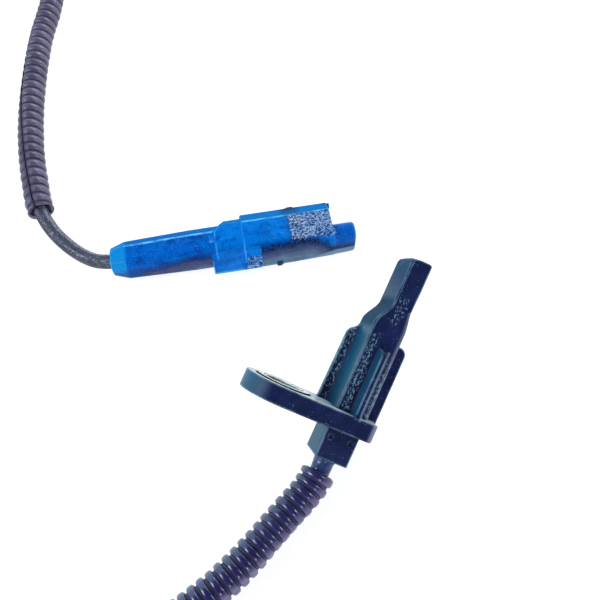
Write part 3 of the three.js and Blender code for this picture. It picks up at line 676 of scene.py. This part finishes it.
def black_plastic():
    n = Nodes("navy_plastic")
    p = n.attr("lp", "Vector")
    edge = n.attr("edge")
    x, y, z = n.parts(p)[:3]
    broad = n.noise(p, 0.16, 3, 0.55)
    fine = n.noise(p, 2.6, 3, 0.6)
    grit = n.noise(p, 3.4, 2, 0.6)
    base = n.mix(n.span(broad, 0.35, 0.7), srgb(29, 40, 80), srgb(40, 51, 96))
    # painted light: faces turned to the left of the probe are painted teal, as if lit from the bright left
    nx = n.parts(n.t.nodes.new("ShaderNodeNewGeometry").outputs["Normal"])[0]
    base = n.mix(n.m("MULTIPLY", n.span(nx, -0.35, -0.95), n.span(z, 29, 20, 0.45, 0.9)), base, srgb(12, 92, 120))
    # painted highlight: faces turned to the right are painted pale grey, most on the flange's right end
    base = n.mix(n.m("MULTIPLY", n.span(nx, 0.45, 0.8), n.m("ADD", 0.4, n.m("MULTIPLY", n.span(z, 0.3, 0.1), n.span(z, -4.7, -4.4, 0.0, 0.45)))), base, srgb(140, 148, 166))
    # painted reflection: the flange's bearing face, where it turns to the far side, is painted pale in broad patches,
    # as if mirroring the bright floor
    ny = n.parts(n.t.nodes.new("ShaderNodeNewGeometry").outputs["Normal"])[1]
    base = n.mix(n.m("MULTIPLY", n.m("MULTIPLY", n.span(ny, 0.50, 0.75), n.span(z, 0.6, 0.3)), n.span(broad, 0.3, 0.7, 0.65, 0.95)), base, srgb(214, 226, 226))
    # painted light on faces turned left: teal-grey on the flange's rounded left end, and painted shade in dark teal at
    # the shoulder
    shoulder_left_shade = n.m("MULTIPLY", n.span(nx, -0.2, -0.5), n.span(n.m("ABSOLUTE", n.m("ADD", z, -24.5)), 5.0, 3.0))
    base = n.mix(n.m("MULTIPLY", n.m("MULTIPLY", n.span(nx, 0.05, -0.55), n.span(z, 0.3, 0.1)), n.span(z, -4.6, -4.4, 0.0, 0.75)), base, srgb(70, 112, 136))
    base = n.mix(n.m("MULTIPLY", shoulder_left_shade, 0.6), base, srgb(6, 56, 84))
    # scuffs: on the near face between its left edge and the fin, and down its right side
    above = n.m("MULTIPLY", n.span(z, 0.2, 1.0), n.span(y, -5.2, -5.45))
    skew = n.m("ADD", x, n.m("MULTIPLY", n.noise(n.scale(p, (0.4, 0.4, 0.25)), 1.0, 2, 0.5), 1.2))
    left = n.m("MULTIPLY", n.span(n.m("ABSOLUTE", n.m("ADD", skew, 1.75)), 1.35, 0.5), n.span(z, 20.5, 17.0))
    right = n.m("MULTIPLY", n.m("MULTIPLY", n.span(x, 2.1, 2.7), n.span(y, -4.0, -5.0)), n.span(z, 17.0, 12.0, 0.0, 0.75))
    shoulder = n.m("MULTIPLY", n.span(n.m("ABSOLUTE", n.m("ADD", x, -0.4)), 1.7, 0.9), n.span(n.m("ABSOLUTE", n.m("ADD", z, -26.0)), 4.2, 2.4, 0.0, 0.6))
    rub = n.m("MAXIMUM", n.m("MULTIPLY", n.m("MAXIMUM", left, shoulder), above), n.m("MULTIPLY", right, n.span(z, 0.2, 1.0)))
    fin = n.m("MULTIPLY", n.m("MULTIPLY", n.span(x, -4.6, -5.2), n.span(y, 2.6, 3.0)), n.m("MULTIPLY", n.span(z, 0.2, 1.0), n.span(n.noise(p, 0.5, 2, 0.5), 0.35, 0.6, 0.5, 1.0)))
    rub = n.m("MAXIMUM", rub, fin)
    chips = n.noise(n.scale(p, (2.0, 2.0, 1.25)), 1.0, 3, 0.75)
    spots = n.m("MULTIPLY", n.span(n.m("ADD", chips, n.m("MULTIPLY", rub, 0.10)), 0.60, 0.67), n.span(rub, 0.02, 0.25))
    # bright line along the near left edge, and light outer edges elsewhere: wear, and also a painted highlight standing
    # in for the glossy edge lines
    step = n.span(z, 21.6, 27.6, 4.2, 1.8)
    rim = n.m("ADD", n.m("ADD", x, step), n.m("ADD", y, 5.5))
    rim = n.m("MULTIPLY", n.m("MULTIPLY", n.span(rim, 0.62, 0.40, 0.0, 0.62), n.span(n.m("ADD", x, step), -0.4, 0.0)), n.span(z, 0.1, 0.6))
    rim = n.m("MULTIPLY", rim, n.span(n.m("ADD", n.noise(n.scale(p, (1.6, 1.6, 0.45)), 1.0, 4, 0.7), n.span(z, 30, 10, -0.06, 0.08)), 0.42, 0.62, 0.12, 1.0))
    edge_wear_and_highlight = n.m("MULTIPLY", n.span(edge, 0.22, 0.62), n.span(n.m("ADD", n.m("MULTIPLY", broad, 0.9), n.m("MULTIPLY", fine, 0.5)), 0.52, 0.86, 0.12, 1.0))
    holes = n.m("MULTIPLY", n.span(z, -5.0, -5.6), n.span(z, -7.2, -6.8))
    edge_wear_and_highlight = n.m("MULTIPLY", edge_wear_and_highlight, n.m("SUBTRACT", 1.0, n.m("MULTIPLY", holes, n.span(y, -5.2, -5.25, 0.0, 0.9))))
    rare = n.m("MULTIPLY", n.span(n.noise(p, 2.4, 2, 0.5), 0.68, 0.72), 0.55)
    rare = n.m("MAXIMUM", rare, n.m("MULTIPLY", n.span(grit, 0.68, 0.72), n.span(z, -6.5, -9.0, 0.0, 0.6)))
    marks = n.m("MAXIMUM", n.m("MAXIMUM", n.m("MULTIPLY", spots, 0.9), rim), n.m("MAXIMUM", n.m("MULTIPLY", edge_wear_and_highlight, 0.6), rare), clamp=True)
    col = n.mix(n.m("MULTIPLY", marks, 0.8), base, srgb(150, 190, 200))
    rough = n.m("ADD", n.span(fine, 0.3, 0.7, 0.30, 0.38), n.m("ADD", n.m("MULTIPLY", marks, 0.15), n.m("MULTIPLY", shoulder_left_shade, 0.25)))
    h = n.m("ADD", n.m("MULTIPLY", fine, 0.12), n.m("MULTIPLY", chips, n.m("MULTIPLY", rub, 3.0)))
    return n.set(Base_Color=col, Roughness=rough, Normal=n.bump(h, 0.06, 0.6), Specular_IOR_Level=0.14)


def blue_plastic():
    n = Nodes("blue_plastic")
    p = n.attr("lp", "Vector")
    edge = n.attr("edge")
    a, c, h = n.parts(p)[:3]
    broad = n.noise(p, 0.13, 3, 0.5)
    blotch = n.noise(p, 0.55, 4, 0.62)
    fine = n.noise(p, 2.4, 3, 0.6)
    grit = n.noise(p, 3.2, 2, 0.65)
    base = n.mix(n.span(broad, 0.3, 0.7), srgb(0, 130, 218), srgb(0, 146, 234))
    base = n.mix(n.m("MAXIMUM", n.span(a, 29.0, 27.0, 0.0, 0.8), n.span(a, 60.5, 61.5, 0.0, 0.9)), base, srgb(0, 104, 196))
    base = n.mix(n.m("MULTIPLY", n.span(blotch, 0.46, 0.72, 0.0, 0.6), n.span(c, 3.2, 1.6, 0.15, 1.0)), base, srgb(0, 74, 168))
    cloud = n.noise(n.scale(p, (0.20, 0.34, 0.34)), 1.0, 4, 0.62)
    base = n.mix(n.m("MULTIPLY", n.span(cloud, 0.50, 0.64, 0.0, 0.7), n.m("MULTIPLY", n.m("MULTIPLY", n.span(c, 2.6, 0.4, 0.1, 1.0), n.span(a, 32.0, 27.5, 0.3, 1.0)), n.span(a, 4.5, 8.0))), base, srgb(0, 66, 158))
    # painted highlight: the barrel's rear end is painted lighter cyan
    base = n.mix(n.span(a, 4.9, 4.1, 0.0, 0.7), base, srgb(10, 164, 226))
    # painted light: the bevelled far side, which faces the light, is painted cyan
    base = n.mix(n.m("MULTIPLY", n.span(c, 2.6, 3.6), 0.7), base, srgb(0, 122, 184))
    # grime low on the near side, with a ragged upper edge, which also carries painted shade there; less of it towards
    # the rear and on the pad
    w = n.m("SUBTRACT", n.m("MULTIPLY", c, -1.0), n.m("MULTIPLY", h, 0.55))
    ragged = n.m("MULTIPLY", n.m("ADD", n.noise(n.scale(p, (0.30, 0.5, 0.5)), 1.0, 5, 0.7), -0.5), 5.5)
    limit = n.m("ADD", n.m("ADD", n.span(a, 34.0, 50.0, 3.3, 2.4), n.span(a, 24.0, 6.0, 0.0, 1.2)), n.span(a, 54.0, 61.0, 0.0, 3.4))
    grime_and_shade = n.span(n.m("SUBTRACT", n.m("ADD", w, ragged), limit), 0.0, 0.55)
    grime_and_shade = n.m("MULTIPLY", grime_and_shade, n.m("MULTIPLY", n.span(a, 7.0, 9.5), n.span(n.m("ADD", blotch, n.m("MULTIPLY", fine, 0.3)), 0.50, 0.70, 1.0, 0.72)))
    pad = n.m("MULTIPLY", n.m("MULTIPLY", n.span(a, 26.9, 27.2), n.span(a, 40.8, 40.4)), n.span(n.m("ADD", n.m("MULTIPLY", c, -1.0), n.m("MULTIPLY", h, -0.35)), 3.1, 3.5))
    grime_and_shade = n.m("MULTIPLY", grime_and_shade, n.m("SUBTRACT", 1.0, pad))
    # painted shade: a darker blue band along and just above the grime's upper edge
    near_side_shade = n.m("MULTIPLY", n.span(n.m("SUBTRACT", n.m("ADD", w, n.m("MULTIPLY", ragged, 0.6)), limit), -1.8, 0.2), n.m("SUBTRACT", 1.0, pad))
    deep = n.m("ADD", n.m("SUBTRACT", n.m("ADD", w, n.m("MULTIPLY", ragged, 0.5)), limit), n.span(a, 31.0, 27.0, 0.0, 1.2))
    # silvery rubbed areas: on the top near the nose, and on the pad's outer corner
    grain = n.noise(n.scale(p, (1.5, 1.9, 1.5)), 1.0, 4, 0.85, 0.6)
    zone = n.m("MULTIPLY", n.m("MULTIPLY", n.span(a, 47.9, 49.8), n.span(a, 63.6, 60.0)), n.span(n.m("ADD", c, n.m("MULTIPLY", ragged, 0.3)), -6.0, -4.6))
    zone = n.m("MULTIPLY", zone, n.span(c, 3.3, 3.0))
    zone = n.m("MAXIMUM", zone, n.m("MULTIPLY", pad, n.m("MULTIPLY", n.span(a, 35.2, 36.4), n.span(c, -6.6, -7.2))))
    zone = n.m("MULTIPLY", zone, n.span(h, -2.5, -1.0))
    halo = n.m("MULTIPLY", n.m("MULTIPLY", n.span(a, 38.0, 47.0), n.span(c, 3.3, 3.0)), n.span(h, 0.5, 3.6, 0.15, 0.85))
    bare = n.m("SUBTRACT", grain, n.m("MULTIPLY", n.m("SUBTRACT", 1.0, zone), 0.22))
    silver = n.m("MULTIPLY", n.span(bare, 0.50, 0.56), n.span(zone, 0.02, 0.2))
    dark = n.m("MULTIPLY", zone, n.span(grain, 0.495, 0.445))
    # painted highlight: a light line along the crease on top, along the body's far edge and over the nose
    k = n.m("ADD", n.span(a, 4.0, 22.0, 0.91, 1.0), 0.0)
    crease_highlight = n.span(n.m("ABSOLUTE", n.m("SUBTRACT", c, n.m("MULTIPLY", k, 1.95))), 0.50, 0.18)
    crease_highlight = n.m("MULTIPLY", crease_highlight, n.m("MULTIPLY", n.span(a, 4.0, 4.4), n.span(a, 29.0, 28.0)))
    above = n.m("MULTIPLY", n.span(n.m("ABSOLUTE", n.m("SUBTRACT", c, 3.1)), 0.42, 0.12), n.m("MULTIPLY", n.span(a, 36.2, 36.6), n.span(a, 60.9, 60.5)))
    tip = n.m("MULTIPLY", n.span(n.m("ABSOLUTE", n.m("ADD", c, 1.5)), 0.55, 0.15), n.m("MULTIPLY", n.span(a, 61.0, 61.3), 0.7))
    crease_highlight = n.m("MULTIPLY", n.m("MAXIMUM", n.m("MAXIMUM", crease_highlight, above), tip), n.span(h, 3.2, 3.6))
    crease_highlight = n.m("MULTIPLY", crease_highlight, n.span(n.noise(n.scale(p, (0.35, 1, 1)), 1.0, 4, 0.7), 0.40, 0.60, 0.25, 1.0))
    specks = n.m("MULTIPLY", n.span(grit, 0.60, 0.68), n.m("MAXIMUM", n.span(broad, 0.40, 0.62, 0.10, 0.7), halo))
    pits = n.m("MULTIPLY", n.span(n.noise(p, 1.5, 2, 0.5), 0.79, 0.81), 0.8)
    col = n.mix(n.m("MULTIPLY", specks, 0.75), base, srgb(120, 200, 242))
    # painted highlight: rounded edges are painted lighter blue
    col = n.mix(n.m("MULTIPLY", n.span(edge, 0.30, 0.8), n.span(fine, 0.35, 0.7, 0.25, 0.8)), col, srgb(96, 196, 246))
    col = n.mix(n.m("MULTIPLY", crease_highlight, 0.9), col, srgb(130, 222, 252))
    col = n.mix(pits, col, srgb(24, 40, 70))
    col = n.mix(n.m("MULTIPLY", near_side_shade, 0.72), col, srgb(8, 64, 134))
    # grime colour: dark blue at its upper edge as painted shade, greyer below, and palest teal-grey lowest down as a
    # painted reflection of the floor
    col = n.mix(n.m("MULTIPLY", grime_and_shade, 0.93), col, n.mix(n.span(deep, 3.0, 4.8), n.mix(n.span(deep, 1.1, 2.9), srgb(12, 34, 78), srgb(92, 92, 116)), srgb(120, 146, 160)))
    col = n.mix(n.m("MULTIPLY", grime_and_shade, n.m("MULTIPLY", n.span(fine, 0.52, 0.70), 0.35)), col, srgb(150, 158, 180))
    # lugs painted darker; painted shadow along the pad's lower edge, with a painted highlight line just above it
    latch = n.m("MULTIPLY", n.m("MULTIPLY", n.span(a, 46.5, 48.6), n.span(a, 53.5, 51.4)), n.span(c, 2.9, 7.1, 0.2, 0.85))
    guide = n.m("MULTIPLY", n.span(a, 59.6, 59.9), n.span(c, 6.0, 6.5))
    stop = n.m("MULTIPLY", n.m("MULTIPLY", n.span(a, 44.1, 44.5), n.span(a, 46.9, 46.5)), n.m("MULTIPLY", n.span(c, -7.08, -7.25), n.span(h, -1.0, -1.4)))
    lugs = n.m("MAXIMUM", n.m("MAXIMUM", latch, guide), stop)
    pad_edge_shadow = n.m("MULTIPLY", n.m("MULTIPLY", n.span(h, -1.75, -2.05), n.span(c, -6.6, -7.2)), n.m("MULTIPLY", n.span(a, 27.0, 27.3), n.span(a, 40.6, 40.3)))
    shine = n.m("MULTIPLY", n.m("MULTIPLY", n.span(n.m("ABSOLUTE", n.m("ADD", h, 1.35)), 0.34, 0.1), n.span(c, -7.4, -7.8)), n.m("MULTIPLY", n.span(a, 27.2, 27.6), n.span(a, 36.0, 34.0)))
    col = n.mix(n.m("MULTIPLY", lugs, n.span(fine, 0.3, 0.6, 0.7, 1.0)), col, srgb(38, 56, 84))
    col = n.mix(n.m("MULTIPLY", pad_edge_shadow, 0.8), col, srgb(6, 34, 62))
    col = n.mix(n.m("MULTIPLY", shine, 0.6), col, srgb(110, 200, 240))
    # painted reflection: a pale grey-blue strip low on the near side, standing in for the floor's reflection
    strip = n.m("MULTIPLY", n.m("MULTIPLY", n.span(n.m("ADD", h, n.span(a, 52.0, 61.0, 0.0, -2.5)), -3.0, -3.8), n.span(c, -2.6, -3.8)), n.m("MULTIPLY", n.span(a, 40.0, 42.0), 0.85))
    col = n.mix(strip, col, srgb(134, 162, 178))
    col = n.mix(n.m("MULTIPLY", silver, 0.95), col, srgb(206, 214, 216))
    col = n.mix(n.m("MULTIPLY", dark, 0.95), col, srgb(34, 40, 58))
    rough = n.m("ADD", n.span(fine, 0.3, 0.7, 0.26, 0.36), n.m("ADD", n.m("MULTIPLY", n.span(c, 1.9, 2.5), 0.5), n.m("ADD", n.m("MULTIPLY", grime_and_shade, 0.22), n.m("MULTIPLY", zone, 0.1))))
    hh = n.m("ADD", n.m("MULTIPLY", fine, 0.22), n.m("ADD", n.m("MULTIPLY", grain, n.m("MULTIPLY", zone, 3.2)), n.m("MULTIPLY", grit, n.m("MULTIPLY", grime_and_shade, 1.2))))
    return n.set(Base_Color=col, Roughness=rough, Normal=n.bump(hh, 0.07, 0.6), Specular_IOR_Level=0.08)


def conduit_plastic():
    n = Nodes("conduit_plastic")
    p = n.attr("lp", "Vector")
    rib = n.attr("rib")
    far = n.attr("far")
    s = n.scale(p, (1.0, 1.0, 1.0))
    broad = n.noise(s, 0.12, 3, 0.5)
    fine = n.noise(s, 2.2, 3, 0.6)
    near_col = n.mix(n.span(broad, 0.3, 0.7), srgb(46, 44, 88), srgb(60, 58, 106))
    far_col = n.mix(n.span(broad, 0.3, 0.7), srgb(84, 77, 104), srgb(105, 98, 123))
    col = n.mix(far, near_col, far_col)
    # painted light: faces turned left are painted slate, faces turned right purple; in the grooves, painted shade on
    # the far part and painted light on the near part
    nrm = n.parts(n.t.nodes.new("ShaderNodeNewGeometry").outputs["Normal"])
    side = n.m("ADD", n.m("MULTIPLY", nrm[0], -0.87), n.m("MULTIPLY", nrm[1], 0.49))
    col = n.mix(n.m("MULTIPLY", n.span(side, 0.05, 0.75), n.m("SUBTRACT", 0.75, n.m("MULTIPLY", far, 0.75))), col, srgb(88, 108, 138))
    col = n.mix(n.m("MULTIPLY", n.span(side, -0.35, -0.9), n.m("SUBTRACT", 0.7, n.m("MULTIPLY", far, 0.6))), col, srgb(116, 102, 148))
    groove_light_and_shade = n.m("MULTIPLY", n.span(rib, 0.75, 0.1), n.span(fine, 0.3, 0.65, 0.6, 1.0))
    col = n.mix(n.m("MULTIPLY", groove_light_and_shade, n.m("ADD", 0.5, n.m("MULTIPLY", far, 0.2))), col, n.mix(far, srgb(92, 88, 136), srgb(34, 30, 66)))
    specks = n.span(n.noise(s, 3.8, 2, 0.6), 0.66, 0.76)
    col = n.mix(n.m("MULTIPLY", specks, 0.35), col, srgb(170, 172, 196))
    rough = n.m("ADD", n.m("ADD", n.span(fine, 0.3, 0.7, 0.17, 0.25), n.m("MULTIPLY", far, 0.2)), n.span(rib, 0.6, 0.15, 0.0, 0.4))
    return n.set(Base_Color=col, Roughness=rough, Normal=n.bump(n.m("ADD", n.m("MULTIPLY", fine, 0.5), n.m("MULTIPLY", specks, 0.4)), 0.03, 0.4), Specular_IOR_Level=0.85)


def cable_rubber():
    n = Nodes("cable_jacket")
    p = n.attr("lp", "Vector")
    broad = n.noise(n.scale(p, (0.25, 1, 1)), 0.8, 3, 0.5)
    fine = n.noise(p, 3.0, 3, 0.6)
    streak = n.noise(n.scale(p, (0.5, 2.6, 2.6)), 1.6, 4, 0.65)
    col = n.mix(n.span(broad, 0.3, 0.7), srgb(64, 67, 84), srgb(84, 88, 106))
    q = n.parts(p)
    # scuffs gathered in bands on the upper sides of the lead; the bands also serve as a painted highlight line there
    band = n.m("MAXIMUM", n.span(n.m("ABSOLUTE", n.m("ADD", q[1], -1.25)), 0.7, 0.25), n.m("MULTIPLY", n.span(n.m("ABSOLUTE", n.m("ADD", q[1], 0.9)), 0.6, 0.2), 0.6))
    band = n.m("MULTIPLY", band, n.span(q[2], 0.0, 0.6))
    mark = n.m("MULTIPLY", n.span(n.m("ADD", streak, n.m("MULTIPLY", band, 0.14)), 0.56, 0.68), n.span(fine, 0.35, 0.6))
    col = n.mix(n.m("MULTIPLY", mark, 0.75), col, srgb(206, 210, 218))
    dark = n.span(n.noise(p, 1.5, 3, 0.6), 0.56, 0.68)
    col = n.mix(n.m("MULTIPLY", dark, 0.4), col, srgb(34, 36, 50))
    rough = n.span(fine, 0.3, 0.7, 0.5, 0.68)
    h = n.m("ADD", fine, n.m("MULTIPLY", mark, 0.8))
    return n.set(Base_Color=col, Roughness=rough, Normal=n.bump(h, 0.05, 0.6))


def bush_metal():
    n = Nodes("bush_metal")
    p = n.attr("lp", "Vector")
    x, y, z = n.parts(p)[:3]
    rad = n.m("SQRT", n.m("ADD", n.m("MULTIPLY", x, x), n.m("MULTIPLY", y, y)))
    ringv = n.t.nodes.new("ShaderNodeCombineXYZ")
    n.link(n.m("MULTIPLY", rad, 9.0), ringv.inputs[0])
    n.link(n.m("MULTIPLY", z, 9.0), ringv.inputs[1])
    rings = n.noise(ringv.outputs[0], 1.0, 3, 0.6)
    fine = n.noise(p, 2.2, 3, 0.6)
    col = n.mix(n.span(fine, 0.35, 0.7), (0.74, 0.78, 0.78), (0.58, 0.62, 0.63))
    stain = n.span(n.noise(p, 0.7, 3, 0.6), 0.52, 0.68)
    col = n.mix(n.m("MULTIPLY", stain, 0.25), col, (0.42, 0.34, 0.33))
    # painted shade: a dark line in the groove round the bore and along the top of the outer wall
    groove = n.m("MULTIPLY", n.span(n.m("ABSOLUTE", n.m("SUBTRACT", rad, 4.88)), 0.20, 0.10), n.span(z, 0.0, 0.1))
    wall = n.m("MULTIPLY", n.span(rad, 6.55, 6.64), n.span(z, 0.29, 0.22))
    groove_and_wall_shade = n.m("MAXIMUM", groove, wall)
    col = n.mix(n.m("MULTIPLY", groove_and_wall_shade, 0.93), col, (0.015, 0.018, 0.022))
    # inside the bore, painted reflections: dark at one end, pinkish in the middle, pale at the other
    inside = n.m("MULTIPLY", n.span(rad, 4.62, 4.5), n.span(z, 0.2, -0.1))
    tone = n.mix(n.span(x, -2.2, 0.4), srgb(30, 32, 52), srgb(196, 166, 176))
    tone = n.mix(n.span(x, 0.2, 2.2), tone, srgb(206, 218, 216))
    col = n.mix(n.m("MULTIPLY", inside, 0.92), col, tone)
    rough = n.m("ADD", n.m("ADD", n.span(rings, 0.3, 0.7, 0.26, 0.36), n.m("MULTIPLY", stain, 0.12)), n.m("MULTIPLY", n.m("MAXIMUM", groove_and_wall_shade, inside), 0.4))
    return n.set(Base_Color=col, Roughness=rough, Metallic=n.m("SUBTRACT", 1.0, n.m("MULTIPLY", inside, 0.8)), Normal=n.bump(rings, 0.008, 0.5))


def plain(name, dark, light, rough, metal=0.0, scale=1.8, lift=0.02):
    """Material of a CAD node that stays: the node's own coordinates, in mm."""
    n = Nodes(name)
    tc = n.t.nodes.new("ShaderNodeTexCoord").outputs["Object"]
    p = n.scale(tc, (1000.0, 1000.0, 1000.0))
    broad = n.noise(p, scale * 0.4, 3, 0.55)
    fine = n.noise(p, scale * 2.2, 3, 0.6)
    col = n.mix(n.span(n.m("ADD", n.m("MULTIPLY", broad, 0.7), n.m("MULTIPLY", fine, 0.3)), 0.35, 0.65), dark, light)
    return n.set(Base_Color=col, Roughness=n.span(fine, 0.3, 0.7, rough - 0.06, rough + 0.08), Metallic=metal, Normal=n.bump(fine, lift, 0.5))


MATS = {
    "housing": black_plastic(), "plug": blue_plastic(), "conduit": conduit_plastic(),
    "cable": cable_rubber(), "bush": bush_metal(),
}
wear(housing, MATS["housing"])
wear(plug, MATS["plug"])
wear(conduit, MATS["conduit"])
wear(cable, MATS["cable"])
wear(bush, MATS["bush"])


def neck_plastic():
    n = Nodes("neck_plastic")
    p = n.attr("lp", "Vector")
    fine = n.noise(p, 2.4, 3, 0.6)
    # painted highlight: light streaks along the neck
    streak = n.span(n.noise(n.scale(p, (0.6, 2.2, 2.2)), 1.4, 4, 0.6), 0.6, 0.72)
    col = n.mix(n.span(fine, 0.3, 0.7), srgb(60, 76, 120), srgb(78, 98, 146))
    col = n.mix(n.m("MULTIPLY", streak, 0.55), col, srgb(170, 182, 204))
    return n.set(Base_Color=col, Roughness=n.span(fine, 0.3, 0.7, 0.12, 0.22), Normal=n.bump(fine, 0.04, 0.5))


wear(neck, neck_plastic())
tin = plain("tinned", (0.50, 0.50, 0.48), (0.72, 0.71, 0.68), 0.3, 1.0)
carrier = plain("carrier", srgb(38, 40, 46), srgb(58, 60, 66), 0.55)
for names, m in (
    (("chip_carrier", "pin_carrier"), carrier),
    (("bias_magnet",), plain("magnet", (0.10, 0.10, 0.11), (0.22, 0.22, 0.23), 0.42, 0.8)),
    (("sensing_element", "filter_capacitor"), plain("epoxy", srgb(24, 24, 28), srgb(38, 38, 42), 0.5)),
    (("lead_strip_left", "lead_strip_right", "contact_pin_upper", "contact_pin_lower"), tin),
    (("splice_crimp_left", "splice_crimp_right"), plain("bronze", (0.42, 0.24, 0.11), (0.66, 0.42, 0.22), 0.35, 1.0)),
    (("wire_brown_head", "wire_brown_plug"), plain("brown_wire", srgb(84, 50, 28), srgb(118, 74, 42), 0.5)),
    (("wire_white_head", "wire_white_plug"), plain("white_wire", srgb(200, 198, 188), srgb(228, 226, 216), 0.5)),
):
    for name in names:
        wear(NODES[name], m)

exit_at = at(EXIT_S)[0][0] * MM

# ------------------------------------------------------------------ floor and light
bpy.ops.mesh.primitive_plane_add(size=6.0, location=(0, 0, 0))
floor = bpy.context.object
floor.name = "floor"
n = Nodes("floor_paper")
tc = n.t.nodes.new("ShaderNodeTexCoord").outputs["Object"]
fib = n.noise(tc, 900.0, 3, 0.6)
n.set(Base_Color=n.mix(fib, (0.30, 0.30, 0.30), (0.33, 0.33, 0.33)), Roughness=0.9, Specular_IOR_Level=0.2, Emission_Color=(1.0, 1.0, 1.0), Emission_Strength=0.86)
wear(floor, n.mat)

world = bpy.data.worlds.new("studio")
bpy.context.scene.world = world
world.use_nodes = True
wt = world.node_tree
wt.nodes.clear()
tc = wt.nodes.new("ShaderNodeTexCoord")
sep = wt.nodes.new("ShaderNodeSeparateXYZ")
wt.links.new(tc.outputs["Generated"], sep.inputs[0])
ramp = wt.nodes.new("ShaderNodeValToRGB")
ramp.color_ramp.elements[0].position = 0.0
ramp.color_ramp.elements[0].color = (0.95, 0.98, 1.0, 1)
ramp.color_ramp.elements[1].position = 1.0
ramp.color_ramp.elements[1].color = (0.02, 0.025, 0.07, 1)
for at_z, tone in ((0.28, (0.80, 0.90, 1.0)), (0.50, (0.24, 0.34, 0.55)), (0.68, (0.05, 0.07, 0.17))):
    step = ramp.color_ramp.elements.new(at_z)
    step.color = (*tone, 1)
wt.links.new(sep.outputs["Z"], ramp.inputs[0])
bg = wt.nodes.new("ShaderNodeBackground")
bg.inputs["Strength"].default_value = 1.0
# a broad soft screen on the left
screen = wt.nodes.new("ShaderNodeMapRange")
screen.interpolation_type = "SMOOTHSTEP"
for k, v in enumerate((None, -0.30, -0.80, 0.0, 1.0)):
    if v is not None:
        screen.inputs[k].default_value = v
wt.links.new(sep.outputs["X"], screen.inputs[0])
tall = wt.nodes.new("ShaderNodeMapRange")
tall.interpolation_type = "SMOOTHSTEP"
for k, v in enumerate((None, 0.86, 0.60, 0.0, 1.0)):
    if v is not None:
        tall.inputs[k].default_value = v
wt.links.new(sep.outputs["Z"], tall.inputs[0])
both = wt.nodes.new("ShaderNodeMath")
both.operation = "MULTIPLY"
wt.links.new(screen.outputs[0], both.inputs[0])
wt.links.new(tall.outputs[0], both.inputs[1])
blend = wt.nodes.new("ShaderNodeMix")
blend.data_type = "RGBA"
wt.links.new(both.outputs[0], blend.inputs[0])
wt.links.new(ramp.outputs[0], blend.inputs[6])
blend.inputs[7].default_value = (0.78, 0.92, 1.0, 1)
wt.links.new(blend.outputs[2], bg.inputs["Color"])
wo = wt.nodes.new("ShaderNodeOutputWorld")
wt.links.new(bg.outputs[0], wo.inputs[0])


def area(name, at_m, size, power, target=(-0.03, 0.0, 0.0), color=(1, 1, 1)):
    d = bpy.data.lights.new(name, "AREA")
    d.shape = "RECTANGLE"
    d.size, d.size_y = size
    d.energy = power
    d.color = color
    o = bpy.data.objects.new(name, d)
    o.location = at_m
    o.rotation_euler = (Vector(target) - Vector(at_m)).to_track_quat("-Z", "Y").to_euler()
    bpy.context.scene.collection.objects.link(o)
    return o


area("left_front", (-0.42, -0.30, 0.42), (0.30, 0.30), 2.1, color=(0.96, 0.99, 1.0))
area("far_low", (-0.12, 0.60, 0.30), (0.45, 0.16), 1.6)
area("right_back", (0.42, 0.30, 0.34), (0.20, 0.20), 1.0)
area("right_front", (0.34, -0.44, 0.40), (0.12, 0.12), 0.6)

scene = bpy.context.scene
scene.view_settings.view_transform = "Standard"
scene.view_settings.look = "None"
scene.view_settings.exposure = 0.0
scene.view_settings.gamma = 0.88
